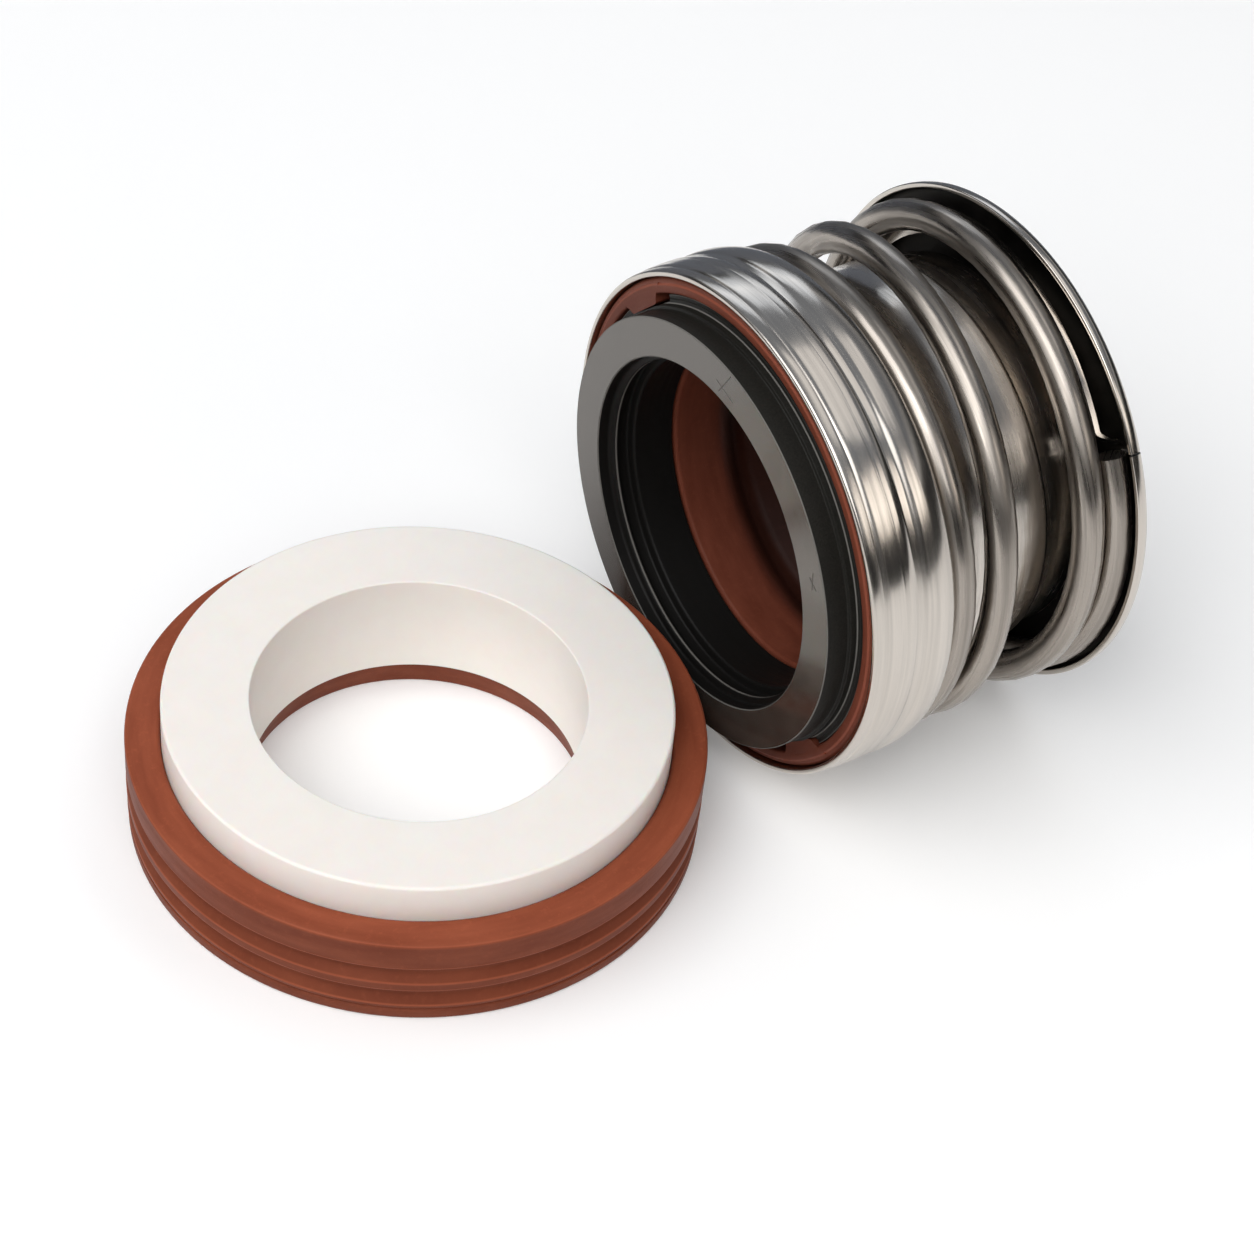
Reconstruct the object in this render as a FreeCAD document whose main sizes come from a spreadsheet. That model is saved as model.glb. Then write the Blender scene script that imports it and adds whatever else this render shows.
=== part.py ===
# Mechanical pump seal, in two halves that stand beside each other.
# The seat is a white ceramic ring in a ribbed rubber cup. It lies flat with its bore on the origin, +Z up.
# The head lies on its side behind the seat, with its axis along +X: a carbon face, rubber bellows,
# a stamped steel retainer, one coil spring, a drive band on the bellows tail and a rear spring holder.
# All lengths are in millimetres.
import FreeCAD, Part
import Sketcher
import math
import os

doc = FreeCAD.newDocument("MechanicalSeal")
sheet = doc.addObject("Spreadsheet::Sheet", "Sizes")

# Driving sizes of the shaft and the seat
SEAT_SIZES = [
    ("shaft_radius", 12.5, "pump shaft that passes through both halves"),
    ("seat_clearance", 0.75, "free distance between the shaft and the seat ring"),
    ("ring_wall", 6.9, "ceramic ring, from its bore to its outside"),
    ("ring_height", 9.4, "ceramic ring, from the cup floor to the lapped face"),
    ("ring_edge_round", 0.45, "rounded edges of the ceramic ring"),
    ("cup_wall", 2.85, "rubber around the ceramic ring"),
    ("cup_floor", 2.3, "rubber under the ceramic ring"),
    ("cup_base_inset", 0.15, "how much narrower the cup is at its base"),
    ("cup_lip_overhang", 0.12, "how far the floor's bore stands back from the ring's bore"),
    ("cup_lip_flare", 0.4, "how much the floor's bore widens towards the base"),
    ("cup_edge_round", 0.3, "rounded edges of the cup"),
    ("cup_foot", 1.64, "height of the cup below its lowest groove"),
    ("top_band", 2.55, "height of the cup above its highest groove"),
    ("rib_depth", 0.6, "depth of the grooves between the cup's ribs"),
    ("rib_pitch", 2.5, "distance from one groove to the next"),
    ("rib_undercut", 0.55, "height of the steep upper flank of a groove"),
    ("rib_groove_floor", 0.35, "height of the groove's floor"),
    ("rib_long_flank", 0.85, "height of the long lower flank of a groove"),
    ("fine_line_height", 1.0, "height of the lower edge of the fine line near the cup's base"),
    ("fine_line_width", 0.3, "width of the fine line"),
    ("fine_line_depth", 0.15, "depth of the fine line, from the cup's base radius"),
]

# Driving sizes of the head. Radii build up from the shaft, and lengths run back from the lapped carbon face.
HEAD_SIZES = [
    ("head_gap", 0.3, "free distance between the cup and the carbon face"),
    ("head_offset", 2.5, "how far the head's axis stands towards the viewer from the seat's axis"),
    ("rubber_fit", 0.1, "free distance between the rubber and what it grips"),
    ("sheet_wall", 0.45, "sheet thickness of the retainer and the drive band"),
    ("carbon_clearance", 1.25, "free distance between the shaft and the carbon ring"),
    ("bore_groove_depth", 0.87, "depth of the groove in the carbon bore"),
    ("bore_land_height", 0.55, "height of the land in front of the bore's groove"),
    ("bore_land_depth", 1.25, "distance from the face to the land in the bore"),
    ("bore_land_width", 0.35, "width of the land"),
    ("bore_groove_width", 1.35, "width of the groove in the carbon bore"),
    ("face_width", 3.31, "width of the lapped face, from the mouth of the bore to the nose's outside"),
    ("nose_length", 2.7, "carbon nose, from the face to the flange"),
    ("nose_root_round", 0.7, "fillet between the nose and the flange"),
    ("flange_rise", 0.97, "how far the carbon flange stands out from the nose"),
    ("flange_length", 4.05, "carbon flange, along the axis"),
    ("carbon_edge", 0.25, "small bevels of the carbon ring"),
    ("notch_rise", 0.12, "how far the floor of a drive notch stands out from the nose"),
    ("notch_half_width", 3.4, "half the width of a drive notch"),
    ("notch_angle", 45.4, "direction of the first notch, from +Y towards +Z"),
    ("lug_lean", 2.3, "angle from the middle of a notch to the middle of its lug"),
    ("lug_tip_half_width", 2.15, "half the width of a drive lug at its tip"),
    ("lug_root_half_width", 2.95, "half the width of a drive lug at its root"),
    ("lip_wall", 1.35, "rubber lip round the carbon flange"),
    ("lip_edge_round", 0.3, "rounded front edge of the lip"),
    ("lip_lead", 0.3, "how far the lip stands in front of the carbon flange"),
    ("shell_lead", 0.16, "how far the shell's rim stands in front of the lip"),
    ("shell_rim_inset", 0.25, "how far the shell's rim stands inside its bands"),
    ("shell_rim_width", 0.7, "width of the shell's rim"),
    ("shell_band_width", 2.9, "width of the shell's front band"),
    ("shell_groove_width", 1.25, "width of the groove between the shell's bands"),
    ("shell_back_round", 0.9, "rounded corner at the back of the shell"),
    ("bellows_floor", 2.8, "rubber between the carbon and the back of the shell"),
    ("throat_clearance", 1.0, "free distance between the shaft and the bellows throat"),
    ("throat_length", 1.3, "bellows throat, from the shell's back to the first fold"),
    ("neck_wall", 1.3, "wall of the bellows neck and of its fold"),
    ("fold_distance", 3.4, "distance from the shell's back to the crest of the fold"),
    ("fold_half_width", 1.2, "half the width of the fold"),
    ("tail_wall", 2.75, "wall of the bellows tail under the drive band"),
    ("tail_end_wall", 1.3, "wall of the bellows tail behind the drive band"),
    ("band_distance", 7.4, "distance from the shell's back to the drive band"),
    ("band_length", 9.2, "drive band, along the axis"),
    ("band_lead", 0.4, "how far the clamped tail reaches out in front of the drive band"),
    ("band_back_round", 0.7, "rounded rear corner of the drive band"),
    ("tail_stub", 1.4, "distance from the drive band to the spring holder"),
    ("barrel_clearance", 0.25, "free distance between the drive band and the retainer barrel"),
    ("barrel_length", 12.0, "retainer barrel, from the shell's back to its rear edge"),
    ("coil_clearance", 1.23, "free distance between the barrel and the spring"),
    ("wire_radius", 1.3, "spring wire"),
    ("spring_fit", 0.06, "free distance between the spring and its seats"),
    ("wire_end_angle", 148.0, "direction of the wire's rear end, from +Y towards +Z"),
    ("holder_wall", 0.45, "sheet thickness of the spring holder"),
    ("holder_clearance", 0.4, "free distance between the shaft and the spring holder"),
    ("holder_rim_width", 0.45, "width of the holder's upturned rim"),
    ("holder_rim_rise", 0.85, "how far the holder's rim stands forward"),
    ("holder_back_round", 0.8, "rounded rear corner of the holder"),
    ("ramp_inset", 1.25, "how far the holder's ramp stands inside the spring's outside"),
    ("ramp_width", 2.0, "width of the ramp that the rear end turn lies on"),
    ("shoulder_gap", 0.25, "free distance between the wire's end and the shoulder of the ramp"),
    ("slit_width", 0.2, "radial slit in the holder at the wire's end"),
    ("slit_depth", 2.4, "length of the radial slit"),
]

# How the coil climbs from the rear end of the wire: turns made so far, wire diameters climbed in the
# close end turns, and the share climbed of the steep free turn between them.
COIL_CLIMB = [
    (0.0, 0.0, 0.0),
    (0.5, 0.18, 0.0),
    (0.84, 0.63, 0.0),
    (1.0, 1.0, 0.0),
    (1.34, 1.38, 0.0),
    (1.59, 1.38, 0.27),
    (1.84, 1.38, 0.69),
    (2.09, 1.38, 0.944),
    (2.34, 1.38, 1.0),
    (2.59, 1.97, 1.0),
    (2.84, 2.58, 1.0),
    (3.0, 2.67, 1.0),
    (3.34, 2.67, 1.0),
]
POINTS_PER_TURN = 20
RAMP_START_TURN = 0.3

# The head's parts are drawn about their own Z axis, and this turn lays that axis along the row's +X.
HEAD_TURN = FreeCAD.Rotation(FreeCAD.Vector(1, 1, 1), 120)
SAME_PLACE = 0.001


def fill_sheet():
    """Write each driving size as a plain number with its name and its note."""
    for row, (alias, value, note) in enumerate(SEAT_SIZES + HEAD_SIZES, start=1):
        sheet.set("A%d" % row, alias.replace("_", " "))
        sheet.set("B%d" % row, str(value))
        sheet.setAlias("B%d" % row, alias)
        sheet.set("C%d" % row, note)
    doc.recompute()


def size(expression):
    """The value of an expression on the sheet, in millimetres or degrees."""
    return float(sheet.evalExpression(bound(expression)))


def bound(expression):
    """Write the sheet's name in front of every alias of an expression."""
    words = expression.replace("(", " ( ").replace(")", " ) ").split()
    aliases = {alias for alias, value, note in SEAT_SIZES + HEAD_SIZES}
    return " ".join("Sizes." + word if word in aliases else word for word in words)


def add(*expressions):
    """Join expressions with plus signs."""
    return " + ".join("(%s)" % expression for expression in expressions)


def take(first, *others):
    """Take expressions away from the first one."""
    return "(%s)" % first + "".join(" - (%s)" % other for other in others)


# Radii that several parts share, built up from the shaft
RING_BORE = add("shaft_radius", "seat_clearance")
RING_OUTER = add(RING_BORE, "ring_wall")
CUP_RADIUS = add(RING_OUTER, "cup_wall")
CARBON_BORE = add("shaft_radius", "carbon_clearance")
FACE_BORE = add(CARBON_BORE, "bore_groove_depth")
NOSE_RADIUS = add(FACE_BORE, "face_width")
NOTCH_FLOOR = add(NOSE_RADIUS, "notch_rise")
FLANGE_RADIUS = add(NOSE_RADIUS, "flange_rise")
LIP_INNER = add(FLANGE_RADIUS, "rubber_fit")
LIP_OUTER = add(LIP_INNER, "lip_wall")
SHELL_INNER = add(LIP_OUTER, "rubber_fit")
RIM_RADIUS = add(SHELL_INNER, "sheet_wall")
HEAD_RADIUS = add(RIM_RADIUS, "shell_rim_inset")
TAIL_OUTER = add("shaft_radius", "tail_wall")
TAIL_END_RADIUS = add("shaft_radius", "tail_end_wall")
BAND_INNER = add(TAIL_OUTER, "rubber_fit")
BAND_RADIUS = add(BAND_INNER, "sheet_wall")
BARREL_INNER = add(BAND_RADIUS, "barrel_clearance")
BARREL_RADIUS = add(BARREL_INNER, "sheet_wall")
COIL_RADIUS = add(BARREL_RADIUS, "coil_clearance", "wire_radius")

# Places along the head's axis, from the carbon face back
LIP_FRONT = take("nose_length", "lip_lead")
SHELL_FRONT = take(LIP_FRONT, "shell_lead")
CARBON_REAR = add("nose_length", "flange_length")
FLOOR_FRONT = add(CARBON_REAR, "rubber_fit")
FLOOR_REAR = add(FLOOR_FRONT, "bellows_floor")
SHELL_WALL_FRONT = add(FLOOR_REAR, "rubber_fit")
SHELL_REAR = add(SHELL_WALL_FRONT, "sheet_wall")
BARREL_END = add(SHELL_REAR, "barrel_length")
BAND_START = add(SHELL_REAR, "band_distance")
BAND_END = add(BAND_START, "band_length")
HOLDER_FRONT = add(BAND_END, "tail_stub")
HOLDER_BACK = add(HOLDER_FRONT, "holder_wall")

# Place of the head beside the seat
HEAD_X = add(CUP_RADIUS, "head_gap")


def new_body(label):
    """An empty body with the name of its part."""
    body = doc.addObject("PartDesign::Body", label)
    body.Label = label
    return body


def set_in_head(part):
    """Lay a part of the head on the head's axis."""
    part.Placement = FreeCAD.Placement(FreeCAD.Vector(0, 0, 0), HEAD_TURN)
    part.setExpression("Placement.Base.x", bound(HEAD_X))
    part.setExpression("Placement.Base.y", bound("0 - head_offset"))
    part.setExpression("Placement.Base.z", bound(HEAD_RADIUS))


def origin_feature(body, role):
    """The body's own origin plane or axis with the given role."""
    return next(item for item in body.Origin.OriginFeatures if item.Role == role)


def sketch_on(body, name, role):
    """A sketch on one of the body's own origin planes."""
    sketch = body.newObject("Sketcher::SketchObject", name)
    sketch.AttachmentSupport = [(origin_feature(body, role), "")]
    sketch.MapMode = "FlatFace"
    return sketch


def outline(sketch, corners):
    """Draw a closed outline and bind each corner's two distances to the sheet."""
    points = [FreeCAD.Vector(size(across), size(along), 0) for across, along in corners]
    for index, point in enumerate(points):
        following = points[(index + 1) % len(points)]
        sketch.addGeometry(Part.LineSegment(point, following), False)
    for index in range(len(points)):
        following = (index + 1) % len(points)
        sketch.addConstraint(Sketcher.Constraint("Coincident", index, 2, following, 1))
    for index, (across, along) in enumerate(corners):
        pin_point(sketch, index, "DistanceX", across, points[index].x, -2)
        pin_point(sketch, index, "DistanceY", along, points[index].y, -1)


def pin_point(sketch, index, kind, expression, value, axis):
    """Hold the first point of a line at a distance from the sketch's origin."""
    if expression == "0":
        sketch.addConstraint(Sketcher.Constraint("PointOnObject", index, 1, axis))
        return
    place = sketch.addConstraint(Sketcher.Constraint(kind, -1, 1, index, 1, value))
    sketch.setExpression("Constraints[%d]" % place, bound(expression))


def turned(body, name, corners):
    """Turn an outline of radius and height once round the body's axis."""
    sketch = sketch_on(body, name + "_outline", "XZ_Plane")
    outline(sketch, corners)
    feature = body.newObject("PartDesign::Revolution", name)
    feature.Profile = sketch
    feature.ReferenceAxis = (sketch, ["V_Axis"])
    feature.Angle = 360
    doc.recompute()
    return feature


def turned_cut(body, name, corners):
    """Cut an outline of radius and height out of the body, all the way round."""
    sketch = sketch_on(body, name + "_outline", "XZ_Plane")
    outline(sketch, corners)
    feature = body.newObject("PartDesign::Groove", name)
    feature.Profile = sketch
    feature.ReferenceAxis = (sketch, ["V_Axis"])
    feature.Angle = 360
    doc.recompute()
    return feature


def ring_edges(shape, places):
    """Names of the round edges of a shape at the given pairs of radius and height."""
    wanted = [(size(radius), size(height)) for radius, height in places]
    names = []
    for number, edge in enumerate(shape.Edges, start=1):
        if not isinstance(edge.Curve, Part.Circle):
            continue
        found = (edge.Curve.Radius, edge.Curve.Center.z)
        if any(math.dist(found, place) < SAME_PLACE for place in wanted):
            names.append("Edge%d" % number)
    if len(names) < len(places):
        raise RuntimeError("a round edge is missing")
    return names


def rounded(body, name, places, radius, kind="PartDesign::Fillet"):
    """Round or bevel the round edges of the body at the given places."""
    base = body.Tip
    feature = body.newObject(kind, name)
    feature.Base = (base, ring_edges(base.Shape, places))
    aspect = "Radius" if kind == "PartDesign::Fillet" else "Size"
    feature.setExpression(aspect, bound(radius))
    doc.recompute()
    return feature


def round_pattern(body, name, feature):
    """Repeat a feature on the opposite side of the axis."""
    pattern = body.newObject("PartDesign::PolarPattern", name)
    pattern.Originals = [feature]
    pattern.Axis = (origin_feature(body, "Z_Axis"), [""])
    pattern.Angle = 360
    pattern.Occurrences = 2
    body.Tip = pattern
    doc.recompute()
    return pattern


# White ceramic seat ring
def make_seat_ring():
    body = new_body("seat_ring")
    top = add("cup_floor", "ring_height")
    turned(body, "RingTurning", [
        (RING_BORE, "cup_floor"),
        (RING_OUTER, "cup_floor"),
        (RING_OUTER, top),
        (RING_BORE, top),
    ])
    edges = [(RING_BORE, top), (RING_OUTER, top)]
    rounded(body, "RingEdges", edges, "ring_edge_round")
    return body


# Ribbed rubber cup that seals the seat ring in its housing
def make_seat_cup():
    body = new_body("seat_cup")
    lip_top = add(RING_BORE, "cup_lip_overhang")
    lip_base = add(lip_top, "cup_lip_flare")
    base_radius = take(CUP_RADIUS, "cup_base_inset")
    groove_height = add("rib_undercut", "rib_groove_floor", "rib_long_flank")
    groove_top = add("cup_foot", groove_height, "rib_pitch")
    cup_top = add(groove_top, "top_band")
    turned(body, "CupTurning", [
        (lip_base, "0"),
        (base_radius, "0"),
        (CUP_RADIUS, cup_top),
        (RING_OUTER, cup_top),
        (RING_OUTER, "cup_floor"),
        (lip_top, "cup_floor"),
    ])
    edges = [(CUP_RADIUS, cup_top), (base_radius, "0")]
    rounded(body, "CupEdges", edges, "cup_edge_round")
    floor_top = take(groove_top, "rib_undercut")
    floor_low = take(floor_top, "rib_groove_floor")
    outside = add(CUP_RADIUS, "rib_depth")
    floor_radius = take(CUP_RADIUS, "rib_depth")
    groove = turned_cut(body, "RibGroove", [
        (outside, groove_top),
        (CUP_RADIUS, groove_top),
        (floor_radius, floor_top),
        (floor_radius, floor_low),
        (CUP_RADIUS, take(floor_low, "rib_long_flank")),
        (outside, take(floor_low, "rib_long_flank")),
    ])
    ribs = body.newObject("PartDesign::LinearPattern", "Ribs")
    ribs.Originals = [groove]
    ribs.Direction = (origin_feature(body, "Z_Axis"), [""])
    ribs.Reversed = True
    ribs.Occurrences = 2
    ribs.setExpression("Length", bound("rib_pitch"))
    body.Tip = ribs
    doc.recompute()
    line_floor = take(base_radius, "fine_line_depth")
    line_top = add("fine_line_height", "fine_line_width")
    turned_cut(body, "FineLine", [
        (line_floor, "fine_line_height"),
        (outside, "fine_line_height"),
        (outside, line_top),
        (line_floor, line_top),
    ])
    return body


# Carbon face ring with a stepped bore and two drive notches in its flange
def make_seal_face():
    body = new_body("seal_face")
    land_rear = add("bore_land_depth", "bore_land_width")
    groove_rear = add(land_rear, "bore_groove_width")
    land_radius = take(FACE_BORE, "bore_land_height")
    turned(body, "CarbonTurning", [
        (FACE_BORE, "0"),
        (NOSE_RADIUS, "0"),
        (NOSE_RADIUS, "nose_length"),
        (FLANGE_RADIUS, "nose_length"),
        (FLANGE_RADIUS, CARBON_REAR),
        (CARBON_BORE, CARBON_REAR),
        (CARBON_BORE, groove_rear),
        (FACE_BORE, groove_rear),
        (FACE_BORE, land_rear),
        (land_radius, land_rear),
        (land_radius, "bore_land_depth"),
        (FACE_BORE, "bore_land_depth"),
    ])
    rounded(body, "NoseRoot", [(NOSE_RADIUS, "nose_length")], "nose_root_round")
    edges = [(FLANGE_RADIUS, "nose_length"), (CARBON_BORE, groove_rear)]
    rounded(body, "CarbonEdges", edges, "carbon_edge", "PartDesign::Chamfer")
    sketch = sketch_on(body, "Notch_outline", "XY_Plane")
    sketch.setExpression("AttachmentOffset.Rotation.Angle", bound("notch_angle"))
    outside = add(FLANGE_RADIUS, "notch_half_width")
    outline(sketch, [
        (NOTCH_FLOOR, "0 - notch_half_width"),
        (outside, "0 - notch_half_width"),
        (outside, "notch_half_width"),
        (NOTCH_FLOOR, "notch_half_width"),
    ])
    pocket = body.newObject("PartDesign::Pocket", "Notch")
    pocket.Profile = sketch
    pocket.Type = "ThroughAll"
    pocket.Reversed = True
    doc.recompute()
    round_pattern(body, "Notches", pocket)
    set_in_head(body)
    return body


# Rubber bellows: a lip round the carbon with two drive lugs, one fold and a clamped tail
def make_bellows():
    body = new_body("bellows")
    throat_radius = add("shaft_radius", "throat_clearance")
    neck_radius = add(throat_radius, "neck_wall")
    fold_radius = take(BARREL_INNER, "rubber_fit")
    fold_peak = add(SHELL_REAR, "fold_distance")
    fold_front = take(fold_peak, "fold_half_width")
    fold_rear = add(fold_peak, "fold_half_width")
    tail_start = take(BAND_START, "band_lead")
    tail_step = take(BAND_END, "sheet_wall", "rubber_fit")
    tail_end = take(HOLDER_FRONT, "rubber_fit")
    turned(body, "BellowsTurning", [
        (LIP_INNER, LIP_FRONT),
        (LIP_OUTER, LIP_FRONT),
        (LIP_OUTER, FLOOR_REAR),
        (neck_radius, FLOOR_REAR),
        (neck_radius, take(fold_front, "neck_wall")),
        (fold_radius, fold_front),
        (fold_radius, fold_rear),
        (TAIL_END_RADIUS, add(fold_rear, "neck_wall")),
        (TAIL_END_RADIUS, tail_start),
        (TAIL_OUTER, tail_start),
        (TAIL_OUTER, tail_step),
        (TAIL_END_RADIUS, tail_step),
        (TAIL_END_RADIUS, tail_end),
        ("shaft_radius", tail_end),
        ("shaft_radius", add(fold_rear, "neck_wall / 2")),
        (take(fold_radius, "neck_wall"), fold_peak),
        (throat_radius, add(SHELL_REAR, "throat_length")),
        (throat_radius, FLOOR_FRONT),
        (LIP_INNER, FLOOR_FRONT),
    ])
    rounded(body, "LipEdge", [(LIP_OUTER, LIP_FRONT)], "lip_edge_round")
    sketch = sketch_on(body, "Lug_outline", "XY_Plane")
    sketch.setExpression("AttachmentOffset.Rotation.Angle", bound(take("notch_angle", "lug_lean")))
    sketch.setExpression("AttachmentOffset.Base.z", bound(LIP_FRONT))
    tip = add(NOTCH_FLOOR, "rubber_fit")
    root = add(LIP_INNER, "lip_edge_round")
    outline(sketch, [
        (tip, "0 - lug_tip_half_width"),
        (root, "0 - lug_root_half_width"),
        (root, "lug_root_half_width"),
        (tip, "lug_tip_half_width"),
    ])
    lug = body.newObject("PartDesign::Pad", "Lug")
    lug.Profile = sketch
    lug.setExpression("Length", bound(add("lip_lead", "flange_length", "rubber_fit", "lip_edge_round")))
    doc.recompute()
    round_pattern(body, "Lugs", lug)
    set_in_head(body)
    return body


# Stamped steel retainer: a banded shell round the lip and a barrel under the spring
def make_retainer():
    body = new_body("retainer")
    band_front = add(SHELL_FRONT, "shell_rim_width")
    band_rear = add(band_front, "shell_rim_inset", "shell_band_width")
    groove_front = add(band_rear, "shell_rim_inset")
    groove_rear = add(groove_front, "shell_groove_width")
    turned(body, "RetainerTurning", [
        (SHELL_INNER, SHELL_FRONT),
        (RIM_RADIUS, SHELL_FRONT),
        (RIM_RADIUS, band_front),
        (HEAD_RADIUS, add(band_front, "shell_rim_inset")),
        (HEAD_RADIUS, band_rear),
        (RIM_RADIUS, groove_front),
        (RIM_RADIUS, groove_rear),
        (HEAD_RADIUS, add(groove_rear, "shell_rim_inset")),
        (HEAD_RADIUS, SHELL_REAR),
        (BARREL_RADIUS, SHELL_REAR),
        (BARREL_RADIUS, BARREL_END),
        (BARREL_INNER, BARREL_END),
        (BARREL_INNER, SHELL_WALL_FRONT),
        (SHELL_INNER, SHELL_WALL_FRONT),
    ])
    rounded(body, "ShellBack", [(HEAD_RADIUS, SHELL_REAR)], "shell_back_round")
    rims = [(RIM_RADIUS, SHELL_FRONT), (BARREL_RADIUS, BARREL_END)]
    rounded(body, "RetainerRims", rims, "sheet_wall / 2")
    set_in_head(body)
    return body


# Drive band: a stamped cup that clamps the bellows tail
def make_drive_band():
    body = new_body("drive_band")
    hole_radius = add(TAIL_END_RADIUS, "rubber_fit")
    floor_front = take(BAND_END, "sheet_wall")
    turned(body, "BandTurning", [
        (BAND_INNER, BAND_START),
        (BAND_RADIUS, BAND_START),
        (BAND_RADIUS, BAND_END),
        (hole_radius, BAND_END),
        (hole_radius, floor_front),
        (BAND_INNER, floor_front),
    ])
    rounded(body, "BandBack", [(BAND_RADIUS, BAND_END)], "band_back_round")
    set_in_head(body)
    return body


# Disc of the spring holder: thin sheet with a rim turned forward and a radial slit at the wire's end
def make_holder_disc():
    body = new_body("holder_disc")
    hole_radius = add("shaft_radius", "holder_clearance")
    rim_front = take(HOLDER_FRONT, "holder_rim_rise")
    rim_inner = take(HEAD_RADIUS, "holder_rim_width")
    inner_bevel = take("holder_back_round", "holder_rim_width")
    turned(body, "HolderTurning", [
        (hole_radius, HOLDER_FRONT),
        (take(rim_inner, inner_bevel), HOLDER_FRONT),
        (rim_inner, take(HOLDER_FRONT, inner_bevel)),
        (rim_inner, rim_front),
        (HEAD_RADIUS, rim_front),
        (HEAD_RADIUS, HOLDER_BACK),
        (hole_radius, HOLDER_BACK),
    ])
    rounded(body, "HolderBack", [(HEAD_RADIUS, HOLDER_BACK)], "holder_back_round")
    sketch = sketch_on(body, "Slit_outline", "XY_Plane")
    sketch.setExpression("AttachmentOffset.Rotation.Angle", bound("wire_end_angle"))
    inside = take(HEAD_RADIUS, "slit_depth")
    outside = add(HEAD_RADIUS, "slit_depth")
    outline(sketch, [
        (inside, "0 - slit_width / 2"),
        (outside, "0 - slit_width / 2"),
        (outside, "slit_width / 2"),
        (inside, "slit_width / 2"),
    ])
    slit = body.newObject("PartDesign::Pocket", "Slit")
    slit.Profile = sketch
    slit.Type = "ThroughAll"
    slit.Reversed = True
    body.Tip = slit
    doc.recompute()
    return body


# Ramp of the spring holder: a strip of its sheet that climbs with the rear end turn, then drops back at a
# shoulder in front of the wire's end
def make_holder_ramp():
    outer = size(add(COIL_RADIUS, "wire_radius")) - size("ramp_inset")
    inner = outer - size("ramp_width")
    end_turn = 1 - turns_along("shoulder_gap")
    shoulder_turn = turns_along("holder_wall")
    strip_end = end_turn - shoulder_turn / 2
    inner_front = ramp_edge(inner, "0", strip_end)
    inner_back = ramp_edge(inner, "holder_wall", strip_end)
    outer_front = ramp_edge(outer, "0", strip_end)
    outer_back = ramp_edge(outer, "holder_wall", strip_end)
    sides = [
        Part.makeRuledSurface(inner_front, outer_front),
        Part.makeRuledSurface(inner_back, outer_back),
        Part.makeRuledSurface(inner_front, inner_back),
        Part.makeRuledSurface(outer_front, outer_back),
    ]
    for end in (0, -1):
        edges = (inner_front, outer_front, outer_back, inner_back)
        sides.append(flat_face([edge.Vertexes[end].Point for edge in edges]))
    shell = Part.makeShell(sides)
    shell.sewShape()
    strip = Part.makeSolid(shell)
    if strip.Volume < 0:
        strip.reverse()
    top = size(HOLDER_FRONT) - height_at(coil_climb(), strip_end)
    foot = flat_face([
        round_point(inner, end_turn - shoulder_turn, top),
        round_point(inner, end_turn, top),
        round_point(outer, end_turn, top),
        round_point(outer, end_turn - shoulder_turn, top),
    ])
    middle = size(add(HOLDER_FRONT, "holder_wall / 2"))
    shoulder = foot.extrude(FreeCAD.Vector(0, 0, middle - top))
    ramp = doc.addObject("Part::Feature", "holder_ramp")
    ramp.Label = "holder_ramp"
    ramp.Shape = strip.fuse(shoulder)
    return ramp


def ramp_edge(radius, behind, last_turn):
    """A long edge of the ramp, at a radius and a distance behind the rear end turn."""
    climb = coil_climb()
    back = size(add(HOLDER_FRONT, behind))
    count = round((last_turn - RAMP_START_TURN) * POINTS_PER_TURN)
    step = (last_turn - RAMP_START_TURN) / count
    points = []
    for number in range(count + 1):
        turn = RAMP_START_TURN + number * step
        points.append(round_point(radius, turn, back - height_at(climb, turn)))
    curve = Part.BSplineCurve()
    curve.interpolate(points)
    return curve.toShape()


def flat_face(corners):
    """A flat face with the given corners."""
    return Part.Face(Part.makePolygon(corners + corners[:1]))


def turns_along(length):
    """The share of a turn that a length takes up along the coil."""
    return size(length) / (2 * math.pi * size(COIL_RADIUS))


# Rear spring holder: the slit disc and its ramp, stamped as one piece
def make_spring_holder():
    holder = doc.addObject("Part::Fuse", "spring_holder")
    holder.Label = "spring_holder"
    holder.Base = make_holder_disc()
    holder.Tool = make_holder_ramp()
    doc.recompute()
    set_in_head(holder)
    return holder


def round_point(radius, turn, height):
    """A point at a radius and a height, a number of turns on from the wire's rear end."""
    angle = math.radians(size("wire_end_angle") + 360 * turn)
    return FreeCAD.Vector(radius * math.cos(angle), radius * math.sin(angle), height)


def coil_climb():
    """Pairs of turns and the height that the coil has climbed by then, between its two seats."""
    wire = size("2 * wire_radius")
    whole = size(take(HOLDER_FRONT, SHELL_REAR, "2 * wire_radius", "2 * spring_fit"))
    free = whole - COIL_CLIMB[-1][1] * wire
    return [(turn, close * wire + share * free) for turn, close, share in COIL_CLIMB]


def rate(climb, index):
    """The mean slope of the climb between a row and the next."""
    return (climb[index + 1][1] - climb[index][1]) / (climb[index + 1][0] - climb[index][0])


def slope(climb, index):
    """The slope at a row, level where the climb is level on either side, so that it never overshoots."""
    if index in (0, len(climb) - 1):
        return 0.0
    before, after = rate(climb, index - 1), rate(climb, index)
    if min(before, after) <= 0:
        return 0.0
    return 2 * before * after / (before + after)


def height_at(climb, turn):
    """The height climbed after a number of turns, on a smooth curve through the rows."""
    index = max(row for row in range(len(climb) - 1) if climb[row][0] <= turn)
    width = climb[index + 1][0] - climb[index][0]
    part = (turn - climb[index][0]) / width
    ease = part ** 2 * (3 - 2 * part)
    leave = part * (1 - part) ** 2 * width
    arrive = part ** 2 * (part - 1) * width
    level = climb[index][1] + ease * (climb[index + 1][1] - climb[index][1])
    return level + leave * slope(climb, index) + arrive * slope(climb, index + 1)


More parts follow.
